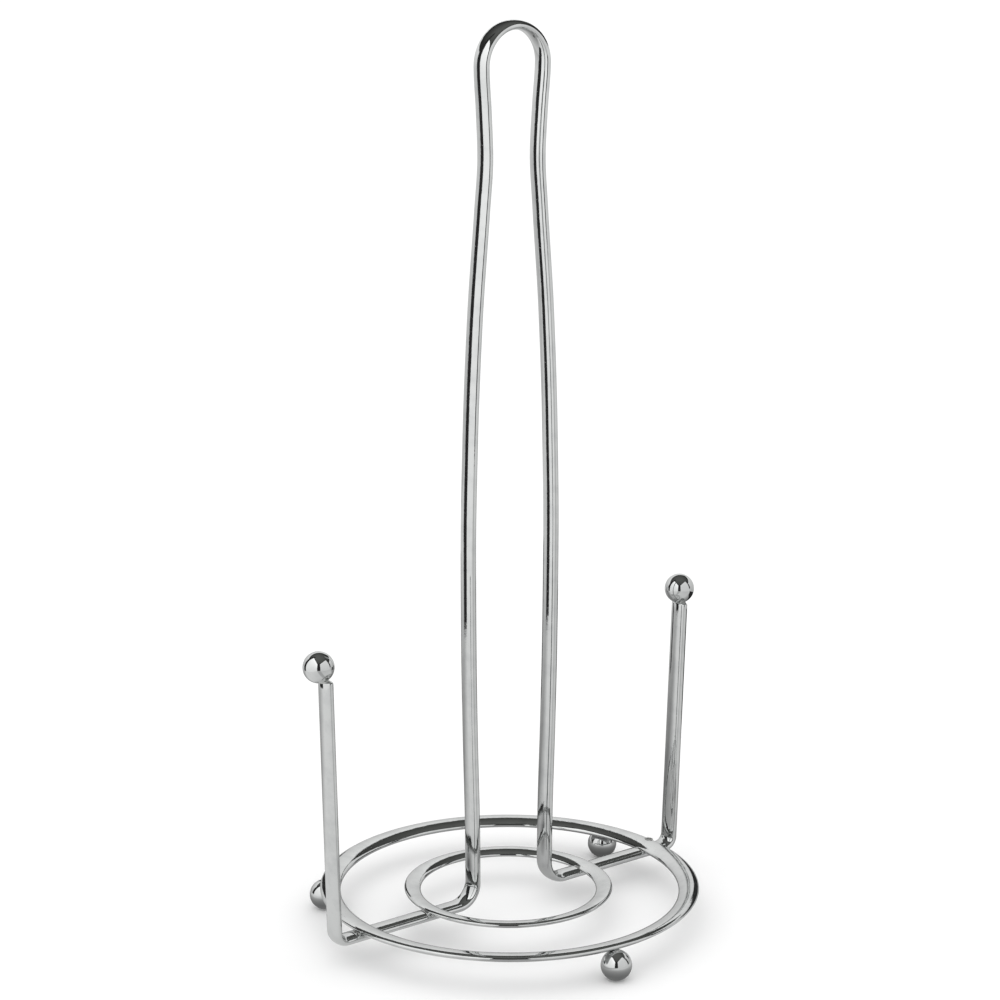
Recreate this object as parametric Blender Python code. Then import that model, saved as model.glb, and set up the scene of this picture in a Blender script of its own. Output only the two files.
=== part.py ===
"""Upright paper towel holder of chrome-plated flat strip steel.

One strip is bent into a standing loop, a crossbar on each side and two short posts. Two dished
rings are welded on top of the crossbars, a ball on each post, and three balls under the outer ring
as feet. A towel roll stands on the rings around the loop, and the posts keep its loose end close.

The loop lies in a plane of constant Y, +Z is up and the feet rest on z = 0. The origin is the
middle of the footprint's box. All lengths are in metres and all angles in degrees.
"""

import math

import bmesh
import bpy
import numpy as np

# The strip that the frame is bent from: its wide side faces the inside of every bend.
STRIP_WIDTH = 0.0080
STRIP_THICKNESS = 0.0036

# The superellipse power of every strip section: 2 is an ellipse, and higher is squarer.
SECTION_POWER = 2.2
SECTION_POINTS = 12

# The two rings, whose outer edges stand higher than their inner ones.
OUTER_RING_RADIUS = 0.0730
OUTER_RING_WIDTH = 0.0080
OUTER_RING_THICKNESS = 0.0030
OUTER_RING_DISH = 11.0
INNER_RING_RADIUS = 0.0401
INNER_RING_WIDTH = 0.0064
INNER_RING_THICKNESS = 0.0024
INNER_RING_DISH = 10.4
INNER_RING_SHIFT = (-0.0008, -0.0002)
RING_POINTS = 64

# Heights above the surface that the feet stand on.
OUTER_RING_HEIGHT = 0.01225
INNER_RING_HEIGHT = 0.01185
CROSSBAR_HEIGHT = 0.01000
LOOP_HEIGHT = 0.34155

# The loop: each leg's distance from the middle, at fractions of the loop's height, and its round top.
LEG_SHAPE = (
    (0.00, 0.0174),
    (0.08, 0.0176),
    (0.20, 0.0187),
    (0.30, 0.01935),
    (0.42, 0.0196),
    (0.55, 0.0187),
    (0.68, 0.01665),
    (0.80, 0.0134),
    (0.857, 0.01205),
    (0.91, 0.0129),
)
LOOP_TOP_RADIUS = 0.0140
# The loop's top leans this far to the right, from this height up.
LOOP_LEAN = 0.0005
LOOP_LEAN_START = 0.250
LEG_STATIONS = 18
LEG_BEND_RADIUS = 0.0083
POST_BEND_RADIUS = 0.0042
BEND_STEP = 15.0

# The posts stand at the crossbars' ends and lean outward a little.
POST_REACH = 0.0815
LEFT_POST_LEAN = 1.5
RIGHT_POST_LEAN = 2.1
LEFT_POST_HEIGHT = 0.1120
RIGHT_POST_HEIGHT = 0.1108

# The balls. A finial is welded on a little off its post's axis, and sinks into the post's end.
BALL_RADIUS = 0.0058
BALL_POINTS = 20
FINIAL_SHIFT = (0.0014, 0.0021)
FINIAL_SINK = 0.0010
FOOT_CIRCLE_RADIUS = 0.0721
FOOT_FLAT_RADIUS = 0.0012
FOOT_ANGLES = {"foot_left": 136.7, "foot_back": 20.5, "foot_front": -95.2}

# What is left between two welded pieces, where the weld itself is.
WELD_GAP = 0.0003

CHROME = (0.78, 0.79, 0.80, 1.0)


def lean_at(height, lean):
    """How far outward a post has leaned at a height."""
    return (height - CROSSBAR_HEIGHT) * math.tan(math.radians(lean))


def finial_centre(side):
    """A finial's distance outward from the loop's middle, and its height; side is -1 or 1."""
    lean, top = {
        -1: (LEFT_POST_LEAN, LEFT_POST_HEIGHT),
        1: (RIGHT_POST_LEAN, RIGHT_POST_HEIGHT),
    }[side]
    height = top + BALL_RADIUS - FINIAL_SINK
    return POST_REACH + lean_at(height, lean) + FINIAL_SHIFT[0], height


# The loop's middle and the rings' middle, so that the footprint's box is centred on the origin.
LOOP_X = (finial_centre(-1)[0] - finial_centre(1)[0]) / 2
FRONT_REACH = -FOOT_CIRCLE_RADIUS * math.sin(math.radians(FOOT_ANGLES["foot_front"])) + BALL_RADIUS
RING_X = LOOP_X + 0.0004
RING_Y = (FRONT_REACH - OUTER_RING_RADIUS) / 2


def strip_section(width, thickness):
    """Points round a strip's section, as (along its width, along its thickness)."""
    points = []
    for step in range(SECTION_POINTS):
        angle = 2 * math.pi * step / SECTION_POINTS
        across, up = math.cos(angle), math.sin(angle)
        points.append(
            (
                width / 2 * math.copysign(abs(across) ** (2 / SECTION_POWER), across),
                thickness / 2 * math.copysign(abs(up) ** (2 / SECTION_POWER), up),
            )
        )
    return points


def leg_distance(height):
    """A leg's distance from the loop's middle, by a smooth curve through LEG_SHAPE with no overshoot."""
    top_centre = LOOP_HEIGHT - LOOP_TOP_RADIUS
    rise = LOOP_HEIGHT - CROSSBAR_HEIGHT
    heights = [CROSSBAR_HEIGHT + rise * fraction for fraction, _ in LEG_SHAPE] + [top_centre]
    distances = [distance for _, distance in LEG_SHAPE] + [LOOP_TOP_RADIUS]
    slopes = np.diff(distances) / np.diff(heights)
    tangents = [0.0]
    for before, after in zip(slopes[:-1], slopes[1:]):
        same_way = before * after > 0
        tangents.append(2 * before * after / (before + after) if same_way else 0.0)
    tangents.append(0.0)
    at = min(max(int(np.searchsorted(heights, height)) - 1, 0), len(slopes) - 1)
    span = heights[at + 1] - heights[at]
    t = (height - heights[at]) / span
    return (
        distances[at] * (1 + 2 * t) * (1 - t) ** 2
        + distances[at + 1] * t * t * (3 - 2 * t)
        + span * t * (1 - t) * (tangents[at] * (1 - t) - tangents[at + 1] * t)
    )


def arc(centre, radius, start, end):
    """Points along an arc, from the angle start to the angle end."""
    steps = max(2, round(abs(end - start) / BEND_STEP))
    angles = [math.radians(start + (end - start) * step / steps) for step in range(steps + 1)]
    return [(centre[0] + radius * math.cos(a), centre[1] + radius * math.sin(a)) for a in angles]


def half_path(lean, post_height):
    """The strip's centreline from the loop's top to a post's top, as (outward, height)."""
    top_centre = LOOP_HEIGHT - LOOP_TOP_RADIUS
    leg_foot = CROSSBAR_HEIGHT + LEG_BEND_RADIUS
    heights = np.linspace(top_centre, leg_foot, LEG_STATIONS)
    path = arc((0, top_centre), LOOP_TOP_RADIUS, 90, 0)[:-1]
    path += [(leg_distance(height), height) for height in heights[:-1]]
    path += arc((leg_distance(leg_foot) + LEG_BEND_RADIUS, leg_foot), LEG_BEND_RADIUS, 180, 270)
    # The post's bend turns through a right angle less the lean, and starts where both lines touch it.
    setback = POST_BEND_RADIUS * math.tan(math.radians(90 - lean) / 2)
    bend_centre = (POST_REACH - setback, CROSSBAR_HEIGHT + POST_BEND_RADIUS)
    path += arc(bend_centre, POST_BEND_RADIUS, -90, -lean)
    path.append((POST_REACH + lean_at(post_height, lean), post_height))
    return path


def loft(name, rows, closed):
    """An object whose surface runs through rows of points, closed into a ring or capped at both ends."""
    mesh = bmesh.new()
    rings = [[mesh.verts.new(point) for point in row] for row in rows]
    following = rings[1:] + rings[:1] if closed else rings[1:]
    for row, after in zip(rings, following):
        for i in range(len(row)):
            j = (i + 1) % len(row)
            mesh.faces.new((row[i], row[j], after[j], after[i]))
    if not closed:
        mesh.faces.new(rings[0])
        mesh.faces.new(rings[-1])
    bmesh.ops.recalc_face_normals(mesh, faces=mesh.faces)
    return add_object(name, mesh)


def add_object(name, mesh):
    """An object that owns a finished bmesh, shaded smooth but for its sharp edges."""
    data = bpy.data.meshes.new(name)
    mesh.to_mesh(data)
    mesh.free()
    data.shade_smooth()
    data.set_sharp_from_angle(angle=math.radians(40))
    new = bpy.data.objects.new(name, data)
    bpy.context.scene.collection.objects.link(new)
    return new


def make_strip_frame(name):
    """The strip, from the left post's top over the loop to the right post's top."""
    left = half_path(LEFT_POST_LEAN, LEFT_POST_HEIGHT)
    right = half_path(RIGHT_POST_LEAN, RIGHT_POST_HEIGHT)
    path = [(-x, z) for x, z in reversed(left)] + right[1:]
    line = np.array(path) + (LOOP_X, 0)
    risen = np.maximum(line[:, 1] - LOOP_LEAN_START, 0) / (LOOP_HEIGHT - LOOP_LEAN_START)
    line[:, 0] += LOOP_LEAN * risen**2
    along = np.gradient(line, axis=0)
    along /= np.linalg.norm(along, axis=1)[:, None]
    section = strip_section(STRIP_WIDTH, STRIP_THICKNESS)
    rows = []
    for (x, z), (dx, dz) in zip(line, along):
        rows.append([(x - up * dz, RING_Y + across, z + up * dx) for across, up in section])
    return loft(name, rows, closed=False)


def make_ring(name, radius, height, width, thickness, dish, shift=(0.0, 0.0), grow=0.0):
    """A dished strip ring with this outer radius; grow makes its section larger all round."""
    middle = radius - width / 2
    lean_cos, lean_sin = math.cos(math.radians(dish)), math.sin(math.radians(dish))
    section = strip_section(width + 2 * grow, thickness + 2 * grow)
    rows = []
    for step in range(RING_POINTS):
        angle = 2 * math.pi * step / RING_POINTS
        row = []
        for across, up in section:
            distance = middle + across * lean_cos - up * lean_sin
            x = RING_X + shift[0] + distance * math.cos(angle)
            y = RING_Y + shift[1] + distance * math.sin(angle)
            row.append((x, y, height + across * lean_sin + up * lean_cos))
        rows.append(row)
    return loft(name, rows, closed=True)


def make_outer_ring(name, grow=0.0):
    return make_ring(
        name,
        OUTER_RING_RADIUS,
        OUTER_RING_HEIGHT,
        OUTER_RING_WIDTH,
        OUTER_RING_THICKNESS,
        OUTER_RING_DISH,
        grow=grow,
    )


def make_inner_ring(name, grow=0.0):
    return make_ring(
        name,
        INNER_RING_RADIUS,
        INNER_RING_HEIGHT,
        INNER_RING_WIDTH,
        INNER_RING_THICKNESS,
        INNER_RING_DISH,
        INNER_RING_SHIFT,
        grow,
    )


def make_ball(name, centre, radius=BALL_RADIUS, flat_radius=0.0):
    """A ball about its centre; flat_radius cuts a small flat across its bottom."""
    mesh = bmesh.new()
    start = math.asin(flat_radius / radius)
    rows = BALL_POINTS // 2
    rings = []
    for row in range(rows):
        angle = start + (math.pi - start) * row / rows if flat_radius else math.pi * (row + 1) / (rows + 1)
        level = -radius * math.cos(angle)
        across = radius * math.sin(angle)
        turn = [2 * math.pi * step / BALL_POINTS for step in range(BALL_POINTS)]
        rings.append([mesh.verts.new((across * math.cos(t), across * math.sin(t), level)) for t in turn])
    for row, after in zip(rings[:-1], rings[1:]):
        for i in range(BALL_POINTS):
            j = (i + 1) % BALL_POINTS
            mesh.faces.new((row[i], row[j], after[j], after[i]))
    close_ball(mesh, rings[-1], radius)
    if flat_radius:
        mesh.faces.new(rings[0])
    else:
        close_ball(mesh, rings[0], -radius)
    bmesh.ops.recalc_face_normals(mesh, faces=mesh.faces)
    ball = add_object(name, mesh)
    ball.location = centre
    return ball


def close_ball(mesh, ring, pole_height):
    """Joins a ball's last ring of points to its pole."""
    pole = mesh.verts.new((0, 0, pole_height))
    for i, point in enumerate(ring):
        mesh.faces.new((point, ring[(i + 1) % len(ring)], pole))


def make_finial(name, side, grow=0.0):
    """The ball on a post; side is -1 for the left post and 1 for the right one."""
    outward, height = finial_centre(side)
    centre = (LOOP_X + side * outward, RING_Y + FINIAL_SHIFT[1], height)
    return make_ball(name, centre, BALL_RADIUS + grow)


def make_foot(name):
    """A ball under the outer ring's outer edge, with a small flat where it stands."""
    angle = math.radians(FOOT_ANGLES[name])
    height = math.sqrt(BALL_RADIUS**2 - FOOT_FLAT_RADIUS**2)
    x = RING_X + FOOT_CIRCLE_RADIUS * math.cos(angle)
    y = RING_Y + FOOT_CIRCLE_RADIUS * math.sin(angle)
    return make_ball(name, (x, y, height), flat_radius=FOOT_FLAT_RADIUS)


def cut_seat(part, cutter):
    """Cuts the seat that a welded neighbour sits in from a part; the cutter is that neighbour, grown."""
    cutter.hide_render = True
    cutter.display_type = "WIRE"
    seat = part.modifiers.new(cutter.name, "BOOLEAN")
    seat.operation = "DIFFERENCE"
    seat.solver = "EXACT"
    seat.object = cutter


def plate_chrome(part):
    """Gives a part its own bright chrome plating."""
    plating = bpy.data.materials.new(part.name + "_chrome")
    plating.use_nodes = True
    shader = plating.node_tree.nodes["Principled BSDF"]
    shader.inputs["Base Color"].default_value = CHROME
    shader.inputs["Metallic"].default_value = 1.0
    shader.inputs["Roughness"].default_value = 0.07
    part.data.materials.append(plating)


def main():
    for old in list(bpy.data.objects):
        bpy.data.objects.remove(old)
    frame = make_strip_frame("strip_frame")
    feet = [make_foot(name) for name in FOOT_ANGLES]
    outer_ring_seat = make_outer_ring("outer_ring_seat", WELD_GAP)
    for part in [frame, *feet]:
        cut_seat(part, outer_ring_seat)
    cut_seat(frame, make_inner_ring("inner_ring_seat", WELD_GAP))
    cut_seat(frame, make_finial("finial_left_seat", -1, WELD_GAP))
    cut_seat(frame, make_finial("finial_right_seat", 1, WELD_GAP))
    rings = [make_outer_ring("outer_ring"), make_inner_ring("inner_ring")]
    finials = [make_finial("finial_left", -1), make_finial("finial_right", 1)]
    for part in [frame, *rings, *finials, *feet]:
        plate_chrome(part)


main()
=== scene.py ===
"""The looks of the chrome paper towel holder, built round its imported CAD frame.

Every CAD piece gets a finely sampled twin of the same shape and place, welds join the twins, and one
chrome shader family finishes them. Lengths are in metres and angles in degrees, where nothing else
is said.
"""

import math
from collections import namedtuple

import bmesh
import bpy
import numpy as np
from mathutils import Matrix, Vector


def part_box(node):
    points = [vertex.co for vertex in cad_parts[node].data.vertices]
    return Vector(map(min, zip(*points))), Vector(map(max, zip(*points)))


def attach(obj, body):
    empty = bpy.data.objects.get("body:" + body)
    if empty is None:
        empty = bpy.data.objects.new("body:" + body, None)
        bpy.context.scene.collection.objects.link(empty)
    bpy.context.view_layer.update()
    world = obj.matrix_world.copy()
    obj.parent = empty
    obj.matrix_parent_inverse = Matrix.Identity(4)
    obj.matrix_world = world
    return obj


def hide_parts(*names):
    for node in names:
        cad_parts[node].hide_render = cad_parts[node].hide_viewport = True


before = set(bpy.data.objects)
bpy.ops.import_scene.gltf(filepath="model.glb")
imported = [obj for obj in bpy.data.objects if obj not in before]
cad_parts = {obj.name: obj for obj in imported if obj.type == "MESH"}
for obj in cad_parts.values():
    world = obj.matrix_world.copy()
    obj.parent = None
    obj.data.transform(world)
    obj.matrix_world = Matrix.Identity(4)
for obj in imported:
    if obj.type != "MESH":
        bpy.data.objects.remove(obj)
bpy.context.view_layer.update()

# The photograph's view: where the camera stands, where it points, and its long lens.
CAMERA_PLACE = (-0.6544, -0.8310, 0.4432)
CAMERA_AZIMUTH = -38.37
CAMERA_PITCH = 14.52
CAMERA_ROLL = 0.26
CAMERA_LENS = 105.8
CAMERA_SENSOR = 36
CAMERA_SHIFT = (-0.0226, -0.0078)

# Dimensions that the CAD nodes' boxes don't give, the same as the CAD's own.
STRIP_WIDTH = 0.0080
STRIP_THICKNESS = 0.0036
SECTION_POWER = 2.2
OUTER_RING_RADIUS = 0.0730
OUTER_RING_WIDTH = 0.0080
OUTER_RING_THICKNESS = 0.0030
OUTER_RING_DISH = 11.0
INNER_RING_RADIUS = 0.0401
INNER_RING_WIDTH = 0.0064
INNER_RING_THICKNESS = 0.0024
INNER_RING_DISH = 10.4
CROSSBAR_HEIGHT = 0.0100
LOOP_HEIGHT = 0.34155
LOOP_TOP_RADIUS = 0.0140
LOOP_LEAN = 0.0005
LOOP_LEAN_START = 0.250
# A leg's distance from the loop's middle, at fractions of the way up from the crossbar to the top.
LEG_SHAPE = (
    (0.00, 0.0174),
    (0.08, 0.0176),
    (0.20, 0.0187),
    (0.30, 0.01935),
    (0.42, 0.0196),
    (0.55, 0.0187),
    (0.68, 0.01665),
    (0.80, 0.0134),
    (0.857, 0.01205),
    (0.91, 0.0129),
)
LEG_BEND_RADIUS = 0.0083
POST_BEND_RADIUS = 0.0042
POST_REACH = 0.0815
POST_LEANS = {-1: 1.5, 1: 2.1}
POST_HEIGHTS = {-1: 0.1120, 1: 0.1108}
BALL_RADIUS = 0.0058
FOOT_FLAT_RADIUS = 0.0012

# How finely the visible pieces are sampled.
SECTION_POINTS = 40
RING_POINTS = 288
BEND_STEP = 3.0
LEG_STATIONS = 90
CROSSBAR_STATIONS = 24
POST_STATIONS = 40
BALL_RINGS = 40
# A ball's first ring has this radius or its flat's, and its last ring stops this many radians short.
BALL_START_RADIUS = 0.0001
BALL_END_GAP = 0.01
# The strip's sheared ends are rounded over.
END_ROUNDING = 0.0007
END_ROUNDING_STEPS = 5

# Weld beads: their half sizes, how far some are turned, and how far their middles lie from the
# middles, edges and surfaces that they join.
EDGE_BEAD = (0.0009, 0.0026, 0.0005)
EDGE_BEAD_INSET = 0.0006
EDGE_BEAD_SKEW = 0.0006
SIDE_BEAD = (0.0019, 0.0006, 0.0007)
SIDE_BEAD_TURN = 8
SIDE_BEAD_REACH = 0.0036
SIDE_BEAD_SKEW = 0.0008
SIDE_BEAD_DEPTH = 0.0009
MARK_BEAD = (0.0012, 0.0017, 0.0005)
MARK_BEAD_TURN = 20
MARK_BEAD_INSET = 0.0016
MARK_BEAD_SKEW = 0.0008
MARK_BEAD_RISE = 0.0003
NECK_BEAD = (0.0017, 0.0031, 0.0009)
FOOT_BEAD = (0.0011, 0.0017, 0.0005)
BEAD_DEPTH = 0.0002
# A bead's unevenness: its share of the bead's size, its waves per metre, and how far it is sampled.
LUMP_SHARE = 0.12
LUMP_FREQUENCY = 1900
LUMP_REACH = 0.002

CHROME = (0.64, 0.65, 0.645, 1.0)
CHROME_DULL = (0.56, 0.57, 0.57, 1.0)
WELD_TINT = (0.44, 0.44, 0.42, 1.0)
BLACK = (0, 0, 0, 1)
WHITE = (1, 1, 1, 1)


def centre_of(node):
    """The middle of a CAD node's box."""
    low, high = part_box(node)
    return (low + high) / 2


FINIALS = {-1: centre_of("finial_left"), 1: centre_of("finial_right")}
FEET = {name: centre_of(name) for name in ("foot_left", "foot_back", "foot_front")}
for foot in FEET.values():
    foot.z = math.sqrt(BALL_RADIUS**2 - FOOT_FLAT_RADIUS**2)
OUTER_RING = centre_of("outer_ring")
INNER_RING = centre_of("inner_ring")
LOOP_Y = centre_of("strip_frame").y


def lean_at(height, side):
    """How far outward a post has leaned at a height."""
    return (height - CROSSBAR_HEIGHT) * math.tan(math.radians(POST_LEANS[side]))


# The loop's middle: the left post's top is at the box's end, and its reach and lean are known.
LOOP_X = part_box("strip_frame")[0].x
LOOP_X += POST_REACH + lean_at(POST_HEIGHTS[-1], -1) + STRIP_THICKNESS / 2


# -- curves and surfaces

def leg_distance(height):
    """A leg's distance from the loop's middle, by a smooth curve through LEG_SHAPE with no overshoot."""
    rise = LOOP_HEIGHT - CROSSBAR_HEIGHT
    heights = [CROSSBAR_HEIGHT + rise * fraction for fraction, _ in LEG_SHAPE]
    heights.append(LOOP_HEIGHT - LOOP_TOP_RADIUS)
    distances = [distance for _, distance in LEG_SHAPE] + [LOOP_TOP_RADIUS]
    slopes = np.diff(distances) / np.diff(heights)
    tangents = [0.0]
    for before, after in zip(slopes[:-1], slopes[1:]):
        same_way = before * after > 0
        tangents.append(2 * before * after / (before + after) if same_way else 0.0)
    tangents.append(0.0)
    at = min(max(int(np.searchsorted(heights, height)) - 1, 0), len(slopes) - 1)
    span = heights[at + 1] - heights[at]
    t = (height - heights[at]) / span
    return (
        distances[at] * (1 + 2 * t) * (1 - t) ** 2
        + distances[at + 1] * t * t * (3 - 2 * t)
        + span * t * (1 - t) * (tangents[at] * (1 - t) - tangents[at + 1] * t)
    )


def arc(centre, radius, start, end):
    """Points along an arc, from the angle start to the angle end."""
    steps = max(2, round(abs(end - start) / BEND_STEP))
    angles = [math.radians(start + (end - start) * step / steps) for step in range(steps + 1)]
    return [(centre[0] + radius * math.cos(a), centre[1] + radius * math.sin(a)) for a in angles]


def spread(start, end, parts):
    """The points between two points of a straight run, without its ends."""
    return [
        tuple(np.array(start) + (np.array(end) - np.array(start)) * part / parts)
        for part in range(1, parts)
    ]


def half_path(side):
    """The strip's centreline from the loop's top to a post's top, as (outward, height)."""
    top_centre = LOOP_HEIGHT - LOOP_TOP_RADIUS
    leg_foot = CROSSBAR_HEIGHT + LEG_BEND_RADIUS
    path = arc((0, top_centre), LOOP_TOP_RADIUS, 90, 0)[:-1]
    path += [(leg_distance(z), z) for z in np.linspace(top_centre, leg_foot, LEG_STATIONS)[:-1]]
    path += arc((leg_distance(leg_foot) + LEG_BEND_RADIUS, leg_foot), LEG_BEND_RADIUS, 180, 270)
    lean = POST_LEANS[side]
    setback = POST_BEND_RADIUS * math.tan(math.radians(90 - lean) / 2)
    bend_centre = (POST_REACH - setback, CROSSBAR_HEIGHT + POST_BEND_RADIUS)
    crossbar_end = arc(bend_centre, POST_BEND_RADIUS, -90, -lean)
    path += spread(path[-1], crossbar_end[0], CROSSBAR_STATIONS)
    path += crossbar_end
    top = POST_HEIGHTS[side] - END_ROUNDING
    post_top = (POST_REACH + lean_at(top, side), top)
    path += spread(path[-1], post_top, POST_STATIONS)
    path.append(post_top)
    return path


def angles_round(count):
    """Angles in radians, spaced evenly round a full turn."""
    return [2 * math.pi * step / count for step in range(count)]


def flattened(ratio):
    """A sine or cosine, swelled so that an oval becomes the strip's rounded section."""
    return math.copysign(abs(ratio) ** (2 / SECTION_POWER), ratio)


def strip_section(width, thickness):
    """Points round a strip's section, as (along its width, along its thickness)."""
    return [
        (width / 2 * flattened(math.cos(angle)), thickness / 2 * flattened(math.sin(angle)))
        for angle in angles_round(SECTION_POINTS)
    ]


def lengths_along(line):
    """How far along a line each of its points lies."""
    steps = np.linalg.norm(np.diff(line, axis=0), axis=1)
    return np.concatenate([[0], np.cumsum(steps)])


def loft(name, rows, closed):
    """A smooth mesh through rows of points. Its UV map is in metres: u along the rows, v round them."""
    rows = np.array(rows)
    count, points = rows.shape[:2]
    faces = []
    for row in range(count if closed else count - 1):
        here, there = row * points, (row + 1) % count * points
        for i in range(points):
            j = (i + 1) % points
            faces.append((here + i, here + j, there + j, there + i))
    if not closed:
        last = (count - 1) * points
        faces.append(tuple(range(points)))
        faces.append(tuple(range(last, last + points)))
    mesh = bpy.data.meshes.new(name)
    mesh.from_pydata([tuple(point) for point in rows.reshape(-1, 3)], [], faces)
    middles = rows.mean(axis=1)
    along = lengths_along(middles)
    around = lengths_along(rows[count // 2])
    length = along[-1] + np.linalg.norm(middles[0] - middles[-1])
    girth = around[-1] + np.linalg.norm(rows[0][0] - rows[0][-1])
    layer = mesh.uv_layers.new(name="UVMap")
    for polygon in mesh.polygons:
        corners = [mesh.loops[loop].vertex_index for loop in polygon.loop_indices]
        at_row, at_point = zip(*(divmod(corner, points) for corner in corners))
        # Where the mesh closes on itself, its first row and points are also its last.
        closes_along = closed and count - 1 in at_row
        closes_around = points - 1 in at_point
        for loop, row, point in zip(polygon.loop_indices, at_row, at_point):
            u = length if row == 0 and closes_along else along[row]
            v = girth if point == 0 and closes_around else around[point]
            layer.data[loop].uv = (u, v)
    return finish_mesh(name, mesh)


def finish_mesh(name, mesh):
    """An object for a finished mesh, with its faces turned outward and shaded smooth."""
    shape = bmesh.new()
    shape.from_mesh(mesh)
    bmesh.ops.recalc_face_normals(shape, faces=shape.faces)
    shape.to_mesh(mesh)
    shape.free()
    mesh.shade_smooth()
    piece = bpy.data.objects.new(name, mesh)
    bpy.context.scene.collection.objects.link(piece)
    return piece


def make_strip_frame(name):
    """The bent strip, from the left post's top over the loop to the right post's top."""
    path = [(-x, z) for x, z in reversed(half_path(-1))] + half_path(1)[1:]
    line = np.array(path) + (LOOP_X, 0)
    risen = np.maximum(line[:, 1] - LOOP_LEAN_START, 0) / (LOOP_HEIGHT - LOOP_LEAN_START)
    line[:, 0] += LOOP_LEAN * risen**2
    along = np.gradient(line, axis=0)
    along /= np.linalg.norm(along, axis=1)[:, None]
    section = strip_section(STRIP_WIDTH, STRIP_THICKNESS)

    def row_at(place, way, inset=0.0):
        """The section's points where the strip passes a place, drawn in all round by the inset."""
        (x, z), (dx, dz) = place, way
        shrink_across = 1 - 2 * inset / STRIP_WIDTH
        shrink_up = 1 - 2 * inset / STRIP_THICKNESS
        return [
            (x - up * shrink_up * dz, LOOP_Y + across * shrink_across, z + up * shrink_up * dx)
            for across, up in section
        ]

    rows = [row_at(place, way) for place, way in zip(line, along)]
    for step in range(1, END_ROUNDING_STEPS + 1):
        turn = math.radians(90 * step / END_ROUNDING_STEPS)
        past = END_ROUNDING * math.sin(turn)
        inset = END_ROUNDING * (1 - math.cos(turn))
        rows.insert(0, row_at(line[0] - along[0] * past, along[0], inset))
        rows.append(row_at(line[-1] + along[-1] * past, along[-1], inset))
    return loft(name, rows, closed=False)


def make_ring(name, centre, radius, width, thickness, dish):
    """A dished strip ring with this outer radius; its section's middle is at the centre's height."""
    middle = radius - width / 2
    lean_cos, lean_sin = math.cos(math.radians(dish)), math.sin(math.radians(dish))
    rows = []
    for angle in angles_round(RING_POINTS):
        row = []
        for across, up in strip_section(width, thickness):
            distance = middle + across * lean_cos - up * lean_sin
            x = centre.x + distance * math.cos(angle)
            y = centre.y + distance * math.sin(angle)
            row.append((x, y, centre.z + across * lean_sin + up * lean_cos))
        rows.append(row)
    return loft(name, rows, closed=True)


def make_ball(name, centre, flat_radius=0.0):
    """A turned ball; flat_radius leaves a small flat across its bottom."""
    start = math.asin(max(flat_radius, BALL_START_RADIUS) / BALL_RADIUS)
    rows = []
    for ring in range(BALL_RINGS + 1):
        angle = start + (math.pi - start - BALL_END_GAP) * ring / BALL_RINGS
        across = BALL_RADIUS * math.sin(angle)
        height = centre.z - BALL_RADIUS * math.cos(angle)
        row = []
        for turn in angles_round(SECTION_POINTS):
            row.append((centre.x + across * math.cos(turn), centre.y + across * math.sin(turn), height))
        rows.append(row)
    return loft(name, rows, closed=False)


def lumpiness(point):
    """A smooth, repeatable unevenness between about -1 and 1, for weld metal."""
    x, y, z = (coordinate * LUMP_FREQUENCY for coordinate in point)
    return (math.sin(x + 2 * math.sin(y)) + math.sin(1.7 * y + 1.3 * z) + math.sin(2.3 * z - x)) / 3


def add_bead(shape, centre, radii, turn):
    """Adds a lumpy oval bead of weld metal to a bmesh; turn is its angle about Z."""
    made = bmesh.ops.create_icosphere(shape, subdivisions=4, radius=1.0)
    spin = Matrix.Rotation(math.radians(turn), 3, "Z")
    for vert in made["verts"]:
        swell = 1 + LUMP_SHARE * lumpiness(Vector(centre) + vert.co * LUMP_REACH)
        vert.co = Vector(centre) + spin @ Vector([c * r * swell for c, r in zip(vert.co, radii)])


def make_weld(name, beads):
    """One joint's weld metal: (centre, radii, turn) for each of its beads."""
    shape = bmesh.new()
    for centre, radii, turn in beads:
        add_bead(shape, centre, radii, turn)
    mesh = bpy.data.meshes.new(name)
    shape.to_mesh(mesh)
    shape.free()
    return finish_mesh(name, mesh)


# -- materials

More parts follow.
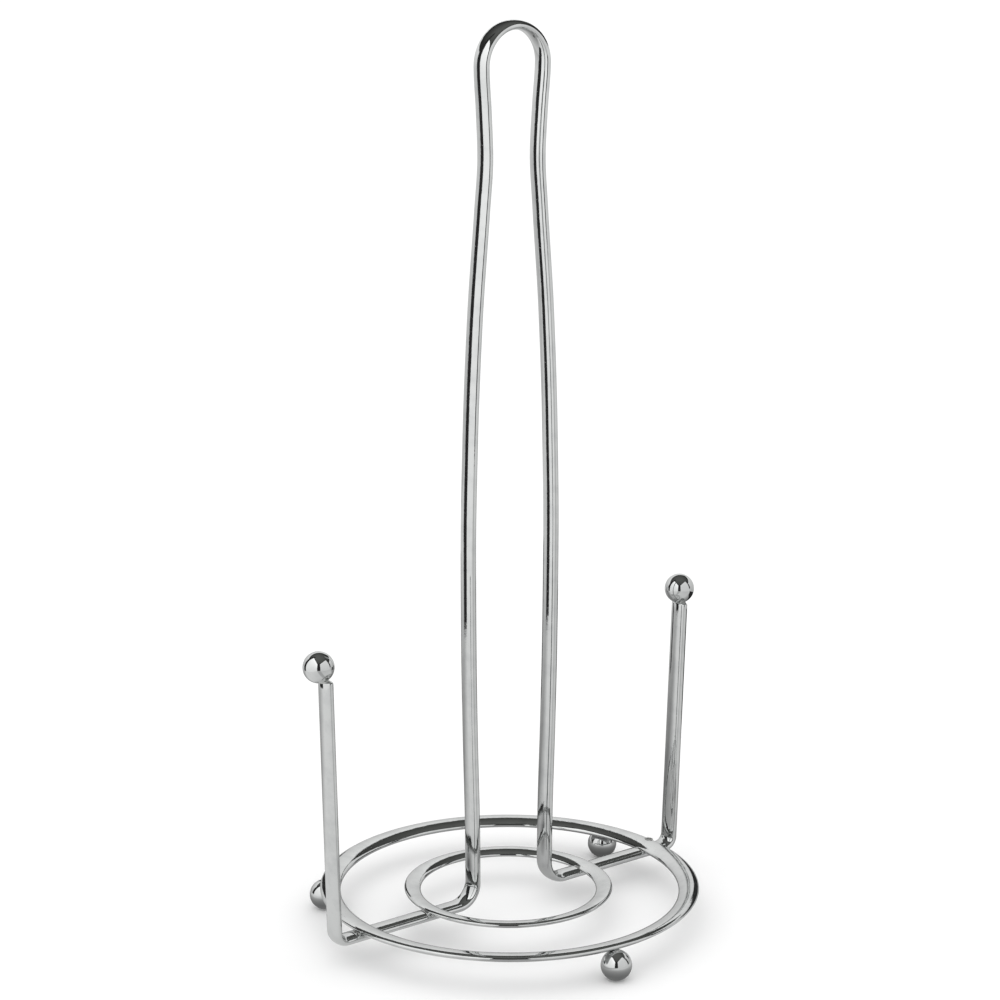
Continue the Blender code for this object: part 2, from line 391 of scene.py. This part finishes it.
class Shader:
    """A material's node tree, with short calls to add nodes and join them."""

    def __init__(self, name):
        self.material = bpy.data.materials.new(name)
        self.material.use_nodes = True
        self.tree = self.material.node_tree
        self.surface = self.tree.nodes["Principled BSDF"]

    def node(self, kind, inputs=(), **settings):
        """A new node, with its settings made and its inputs set or linked."""
        new = self.tree.nodes.new(kind)
        for setting, value in settings.items():
            setattr(new, setting, value)
        for socket, value in dict(inputs).items():
            self.set(new, socket, value)
        return new

    def set(self, node, socket, value):
        """Links a node's input to another socket, or gives it a plain value."""
        if isinstance(value, bpy.types.NodeSocket):
            self.tree.links.new(value, node.inputs[socket])
        else:
            node.inputs[socket].default_value = value

    def noise(self, vector, scale, detail, stretch=(1, 1, 1)):
        """Noise between 0 and 1, stretched along the vector's axes."""
        mapped = self.node("ShaderNodeMapping", {"Vector": vector, "Scale": stretch})
        inputs = {"Vector": mapped.outputs["Vector"], "Scale": scale, "Detail": detail, "Roughness": 0.55}
        return self.node("ShaderNodeTexNoise", inputs).outputs["Fac"]

    def ramp(self, value, start, end, low=0.0, high=1.0):
        """A value's range from start to end, turned into low to high."""
        inputs = {"Value": value, "From Min": start, "From Max": end, "To Min": low, "To Max": high}
        return self.node("ShaderNodeMapRange", inputs).outputs["Result"]

    def mix(self, factor, first, second):
        """A colour between two. The colour sockets go by number: their names aren't unique."""
        inputs = {0: factor, 6: first, 7: second}
        return self.node("ShaderNodeMix", inputs, data_type="RGBA").outputs[2]

    def add(self, first, second):
        return self.node("ShaderNodeMath", {0: first, 1: second}, operation="ADD").outputs[0]

    def multiply(self, first, second):
        return self.node("ShaderNodeMath", {0: first, 1: second}, operation="MULTIPLY").outputs[0]

    def bump(self, height, strength, distance, normal=None):
        """A surface raised by a height, on top of another bump's normal if there is one."""
        inputs = {"Height": height, "Strength": strength, "Distance": distance}
        if normal is not None:
            inputs["Normal"] = normal
        return self.node("ShaderNodeBump", inputs).outputs["Normal"]

    def shine(self, strength):
        """The material as plain white light of a strength, with no gloss of its own."""
        self.set(self.surface, "Base Color", BLACK)
        self.set(self.surface, "Emission Color", WHITE)
        self.set(self.surface, "Emission Strength", strength)
        self.set(self.surface, "Specular IOR Level", 0.0)
        return self.material


def chrome(name, drawn):
    """Bright plating with mottling, faint smears and pits; drawn adds the die lines of rolled strip."""
    shader = Shader(name)
    place = shader.node("ShaderNodeTexCoord").outputs["Object"]
    mottle = shader.ramp(shader.noise(place, scale=160, detail=4), 0.45, 0.75)
    smear = shader.ramp(shader.noise(place, scale=45, detail=3, stretch=(1, 1, 0.35)), 0.5, 0.8)
    pits = shader.ramp(shader.noise(place, scale=1500, detail=2), 0.72, 0.8)
    shader.set(shader.surface, "Base Color", shader.mix(mottle, CHROME, CHROME_DULL))
    shader.set(shader.surface, "Metallic", 1.0)
    smear_gloss = shader.ramp(smear, 0, 1, low=0.035, high=0.10)
    gloss = shader.add(smear_gloss, shader.ramp(pits, 0, 1, low=0, high=0.2))
    ripple = shader.noise(place, scale=320, detail=2)
    relief = shader.bump(ripple, strength=0.10, distance=0.0002)
    if drawn:
        run = shader.node("ShaderNodeUVMap", uv_map="UVMap").outputs["UV"]
        lines = shader.noise(run, scale=1.0, detail=3, stretch=(25, 5200, 1))
        gloss = shader.add(gloss, shader.ramp(lines, 0.5, 0.8, low=0, high=0.06))
        relief = shader.bump(lines, strength=0.12, distance=0.00004, normal=relief)
    shader.set(shader.surface, "Roughness", gloss)
    pitted = shader.bump(pits, strength=0.25, distance=-0.0001, normal=relief)
    shader.set(shader.surface, "Normal", pitted)
    return shader.material


def weld_chrome(name):
    """Plating over spatter: duller, greyer and rougher than on the strip."""
    shader = Shader(name)
    place = shader.node("ShaderNodeTexCoord").outputs["Object"]
    soot = shader.ramp(shader.noise(place, scale=700, detail=4), 0.4, 0.65)
    grain = shader.noise(place, scale=2600, detail=3)
    shader.set(shader.surface, "Base Color", shader.mix(soot, CHROME_DULL, WELD_TINT))
    shader.set(shader.surface, "Metallic", 1.0)
    shader.set(shader.surface, "Roughness", shader.ramp(grain, 0.3, 0.7, low=0.10, high=0.30))
    coarse = shader.bump(shader.noise(place, scale=700, detail=2), strength=0.25, distance=0.0002)
    fine = shader.bump(grain, strength=0.15, distance=0.00006, normal=coarse)
    shader.set(shader.surface, "Normal", fine)
    return shader.material


def glow(name, dim, bright):
    """A lit surface for the studio, from dim at the bottom of its UV map to bright at the top."""
    shader = Shader(name)
    uv = shader.node("ShaderNodeUVMap", uv_map="UVMap").outputs["UV"]
    level = shader.node("ShaderNodeSeparateXYZ", {"Vector": uv}).outputs["Y"]
    return shader.shine(shader.ramp(level, 0, 1, low=dim, high=bright))


# -- the object's pieces

def dress(piece, material, slot, *nodes):
    """Finishes a piece, lets it ride on the object's one body, and hides the CAD nodes that it stands
    for.
    """
    piece.data.materials.append(material)
    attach(piece, "root")
    if nodes:
        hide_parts(*nodes)


def crossing_beads(side, ring_centre, radius, width):
    """The weld where a ring lies across a crossbar: one bead along each edge, and one at each side."""
    middle = ring_centre.x + side * (radius - width / 2)
    top = CROSSBAR_HEIGHT + STRIP_THICKNESS / 2
    reach = width / 2 - EDGE_BEAD_INSET
    beads = []
    for way in (-1, 1):
        edge = (middle + way * reach, LOOP_Y + way * EDGE_BEAD_SKEW, top - BEAD_DEPTH)
        beads.append((edge, EDGE_BEAD, 0))
        flank_y = LOOP_Y + way * SIDE_BEAD_REACH
        flank = (middle + way * SIDE_BEAD_SKEW, flank_y, top - SIDE_BEAD_DEPTH)
        beads.append((flank, SIDE_BEAD, SIDE_BEAD_TURN))
    return beads


def build_strips(strip_finish):
    """The bent strip and the two rings."""
    dress(make_strip_frame("bent_strip"), strip_finish, "frame_chrome", "strip_frame")
    outer = make_ring(
        "base_ring",
        OUTER_RING,
        OUTER_RING_RADIUS,
        OUTER_RING_WIDTH,
        OUTER_RING_THICKNESS,
        OUTER_RING_DISH,
    )
    inner = make_ring(
        "roll_ring",
        INNER_RING,
        INNER_RING_RADIUS,
        INNER_RING_WIDTH,
        INNER_RING_THICKNESS,
        INNER_RING_DISH,
    )
    dress(outer, strip_finish, "ring_chrome", "outer_ring")
    dress(inner, strip_finish, "ring_chrome", "inner_ring")


def build_balls(ball_finish):
    """The two finials and the three feet."""
    for side, name in ((-1, "left"), (1, "right")):
        ball = make_ball("finial_ball_" + name, FINIALS[side])
        dress(ball, ball_finish, "ball_chrome", "finial_" + name)
    for name, centre in FEET.items():
        ball = make_ball(name + "_ball", centre, FOOT_FLAT_RADIUS)
        dress(ball, ball_finish, "ball_chrome", name)


def build_welds(weld_finish):
    """The weld metal in every joint, which the CAD leaves open."""
    for side, name in ((-1, "left"), (1, "right")):
        post_x = LOOP_X + side * (POST_REACH + lean_at(POST_HEIGHTS[side], side))
        ball = FINIALS[side]
        neck = ((post_x + ball.x) / 2, (LOOP_Y + ball.y) / 2, POST_HEIGHTS[side] - BEAD_DEPTH)
        collar = make_weld("finial_weld_" + name, [(neck, NECK_BEAD, 0)])
        dress(collar, weld_finish, "ball_chrome")
        outer = crossing_beads(side, OUTER_RING, OUTER_RING_RADIUS, OUTER_RING_WIDTH)
        inner = crossing_beads(side, INNER_RING, INNER_RING_RADIUS, INNER_RING_WIDTH)
        if side == 1:
            # The electrode has left a low mark near the ring's outer edge.
            mark_x = OUTER_RING.x + OUTER_RING_RADIUS - MARK_BEAD_INSET
            mark_z = OUTER_RING.z + OUTER_RING_THICKNESS / 2 + MARK_BEAD_RISE
            mark = (mark_x, LOOP_Y + MARK_BEAD_SKEW, mark_z)
            outer.append((mark, MARK_BEAD, MARK_BEAD_TURN))
        dress(make_weld("base_ring_weld_" + name, outer), weld_finish, "ring_chrome")
        dress(make_weld("roll_ring_weld_" + name, inner), weld_finish, "ring_chrome")
    for name, centre in FEET.items():
        outward = math.degrees(math.atan2(centre.y - OUTER_RING.y, centre.x - OUTER_RING.x))
        top = (centre.x, centre.y, centre.z + BALL_RADIUS - BEAD_DEPTH)
        weld = make_weld(name + "_weld", [(top, FOOT_BEAD, outward)])
        dress(weld, weld_finish, "ball_chrome")


# -- the studio

FLOOR_HALF = 12.0
FLOOR_COLOR = (0.90, 0.90, 0.90, 1.0)
WORLD_LIGHT = 1.16
SUN_STRENGTH = 0.15
SUN_SPREAD = 50
SUN_DIRECTION = (1.1, 0.5, -1.6)
# The dark ceiling that the chrome mirrors: its strengths at the rise where it starts to brighten, the
# sine of 30 degrees, and overhead.
CEILING_RISE = 0.5
CEILING_LIGHTS = (0.035, 0.150)
CEILING_COLOR = (0.94, 0.96, 0.92, 1)
# What the chrome mirrors and the camera does not see, as upright panels. Each has the bearing and the
# distance of its two ends, its bottom, its top, and its brightness at the bottom and at the top.
# Bearings run clockwise from the direction in which the camera stands, seen from above.
FRONT_BEARING = -128.1
Panel = namedtuple("Panel", "bearing distance end_bearing end_distance bottom top dim bright")
PANELS = {
    "key_panel": Panel(10.7, 0.92, 89.0, 0.40, 0.0, 0.80, 1.02, 1.60),
    "fill_panel": Panel(-11.5, 0.92, -86.0, 0.60, 0.0, 0.80, 0.85, 1.02),
    "backdrop_panel": Panel(107.0, 0.95, 201.0, 0.95, 0.0, 0.60, 0.62, 1.08),
    "back_fill_panel": Panel(-159.0, 0.60, -97.0, 0.50, 0.0, 0.36, 0.60, 0.95),
    "side_card": Panel(89.0, 0.395, 107.0, 0.385, 0.0, 1.20, 0.03, 0.03),
    "front_card": Panel(10.7, 0.93, -11.5, 0.93, 0.0, 0.95, 0.03, 0.03),
    "right_card": Panel(-151.0, 0.17, -104.0, 0.19, 0.030, 0.085, 0.03, 0.03),
    "left_card": Panel(138.0, 0.18, 151.0, 0.17, 0.030, 0.100, 0.03, 0.03),
}


def around(bearing, distance):
    """A place on the floor, this far from the object's middle."""
    angle = math.radians(FRONT_BEARING - bearing)
    return distance * math.cos(angle), distance * math.sin(angle)


def add_flat(name, corners, material):
    """One flat four-cornered stage surface, with a UV map whose v runs from 0 at its first edge to 1."""
    mesh = bpy.data.meshes.new(name)
    mesh.from_pydata(corners, [], [(0, 1, 2, 3)])
    layer = mesh.uv_layers.new(name="UVMap")
    for corner, uv in zip(layer.data, ((0, 0), (1, 0), (1, 1), (0, 1))):
        corner.uv = uv
    flat = bpy.data.objects.new(name, mesh)
    flat.data.materials.append(material)
    bpy.context.scene.collection.objects.link(flat)
    return flat


def add_mirrored_flat(name, corners, material):
    """A stage surface that only the chrome sees, in its reflections."""
    flat = add_flat(name, corners, material)
    flat.visible_camera = False
    flat.visible_diffuse = False
    flat.visible_shadow = False


def pale_floor_material():
    """The floor as the camera sees it: nearly white and matt."""
    shader = Shader("pale_floor")
    place = shader.node("ShaderNodeTexCoord").outputs["Object"]
    patch = shader.ramp(shader.noise(place, scale=3, detail=2), 0.3, 0.7, low=0.0, high=0.02)
    shader.set(shader.surface, "Base Color", shader.mix(patch, FLOOR_COLOR, WHITE))
    shader.set(shader.surface, "Roughness", 1.0)
    shader.set(shader.surface, "Specular IOR Level", 0.0)
    return shader.material


def painted_floor_reflection_material():
    """The floor as the chrome mirrors it, a glowing sheet with painted shade: dim under the object,
    beside its feet as a painted contact shadow, behind it, and towards one side.
    """
    shader = Shader("painted_floor_reflection_glow")
    place = shader.node("ShaderNodeTexCoord").outputs["Object"]
    turn = (0, 0, -math.radians(FRONT_BEARING))
    turned = shader.node("ShaderNodeMapping", {"Vector": place, "Rotation": turn}).outputs["Vector"]
    axes = shader.node("ShaderNodeSeparateXYZ", {"Vector": turned})
    forward, sideways = axes.outputs["X"], axes.outputs["Y"]
    reach = shader.node("ShaderNodeVectorMath", {0: place}, operation="LENGTH").outputs["Value"]
    # Painted shade: the glow dims near the object's middle, more so behind it, and towards one side.
    before = shader.ramp(forward, -0.10, 0.0)
    behind = shader.ramp(forward, -0.10, 0.0, low=1.0, high=0.0)
    light = shader.add(
        shader.multiply(before, shader.ramp(reach, 0.02, 0.12, low=0.60, high=0.92)),
        shader.multiply(behind, shader.ramp(reach, 0.12, 0.55, low=0.28, high=0.80)),
    )
    light = shader.multiply(light, shader.ramp(sideways, -0.30, 0.30, low=1.0, high=0.80))
    # Painted contact shadow: the glow dims round each foot.
    for centre in FEET.values():
        ends = {0: place, 1: (centre.x, centre.y, 0)}
        gap = shader.node("ShaderNodeVectorMath", ends, operation="DISTANCE").outputs["Value"]
        light = shader.multiply(light, shader.ramp(gap, 0.006, 0.034, low=0.30, high=1.0))
    # Painted shade: a dim stripe runs over the floor towards the camera, in line with the gap between the
    # two softboxes.
    bearing = shader.node("ShaderNodeMath", {0: sideways, 1: forward}, operation="ARCTAN2").outputs[0]
    aside = shader.node("ShaderNodeMath", {0: bearing}, operation="ABSOLUTE").outputs[0]
    stripe = shader.ramp(aside, math.radians(7), math.radians(15), low=0.66, high=1.0)
    return shader.shine(shader.multiply(light, stripe))


def build_floor():
    """The pale floor, and a glowing one with painted shade that the chrome mirrors instead of it."""
    half = FLOOR_HALF
    corners = [(-half, -half, 0), (half, -half, 0), (half, half, 0), (-half, half, 0)]
    floor = add_flat("floor", corners, pale_floor_material())
    floor.visible_glossy = False
    add_mirrored_flat("painted_floor_reflection", corners, painted_floor_reflection_material())


def build_panels():
    """The softboxes, the backdrop and the dark cards."""
    for name, panel in PANELS.items():
        start = around(panel.bearing, panel.distance)
        end = around(panel.end_bearing, panel.end_distance)
        low, high = panel.bottom, panel.top
        corners = [(*start, low), (*end, low), (*end, high), (*start, high)]
        add_mirrored_flat(name, corners, glow(name + "_glow", panel.dim, panel.bright))


def build_world():
    """A room that is pale to the camera and to the floor, while the chrome mirrors its dark ceiling."""
    world = bpy.data.worlds.new("studio")
    bpy.context.scene.world = world
    world.use_nodes = True
    nodes, links = world.node_tree.nodes, world.node_tree.links
    nodes.clear()
    pale, dark = nodes.new("ShaderNodeBackground"), nodes.new("ShaderNodeBackground")
    pale.inputs["Color"].default_value = WHITE
    pale.inputs["Strength"].default_value = WORLD_LIGHT
    dark.inputs["Color"].default_value = CEILING_COLOR
    upward, rise = nodes.new("ShaderNodeSeparateXYZ"), nodes.new("ShaderNodeMapRange")
    links.new(nodes.new("ShaderNodeTexCoord").outputs["Generated"], upward.inputs["Vector"])
    links.new(upward.outputs["Z"], rise.inputs["Value"])
    rise.inputs["From Min"].default_value = CEILING_RISE
    rise.inputs["To Min"].default_value, rise.inputs["To Max"].default_value = CEILING_LIGHTS
    links.new(rise.outputs["Result"], dark.inputs["Strength"])
    choice, out = nodes.new("ShaderNodeMixShader"), nodes.new("ShaderNodeOutputWorld")
    links.new(nodes.new("ShaderNodeLightPath").outputs["Is Glossy Ray"], choice.inputs["Fac"])
    links.new(pale.outputs[0], choice.inputs[1])
    links.new(dark.outputs[0], choice.inputs[2])
    links.new(choice.outputs[0], out.inputs["Surface"])
    bpy.context.scene.view_settings.view_transform = "Standard"


def build_sun():
    """A weak, wide light that gives the shadow a direction."""
    light = bpy.data.lights.new("key_light", "SUN")
    light.angle = math.radians(SUN_SPREAD)
    light.energy = SUN_STRENGTH
    lamp = bpy.data.objects.new("key_light", light)
    lamp.rotation_euler = Vector(SUN_DIRECTION).to_track_quat("-Z", "Y").to_euler()
    lamp.visible_glossy = False
    bpy.context.scene.collection.objects.link(lamp)


def place_camera():
    """The camera, where the photograph was taken from."""
    camera = bpy.data.cameras.new("camera")
    camera.sensor_width = CAMERA_SENSOR
    camera.lens = CAMERA_LENS
    camera.shift_x, camera.shift_y = CAMERA_SHIFT
    holder = bpy.data.objects.new("camera", camera)
    azimuth = Matrix.Rotation(math.radians(CAMERA_AZIMUTH), 4, "Z")
    pitch = Matrix.Rotation(math.radians(90 - CAMERA_PITCH), 4, "X")
    roll = Matrix.Rotation(math.radians(CAMERA_ROLL), 4, "Z")
    holder.matrix_world = Matrix.Translation(CAMERA_PLACE) @ azimuth @ pitch @ roll
    bpy.context.scene.collection.objects.link(holder)
    bpy.context.scene.camera = holder


place_camera()
build_floor()
build_panels()
build_world()
build_sun()
build_strips(chrome("strip_chrome", drawn=True))
build_balls(chrome("ball_chrome", drawn=False))
build_welds(weld_chrome("weld_chrome"))
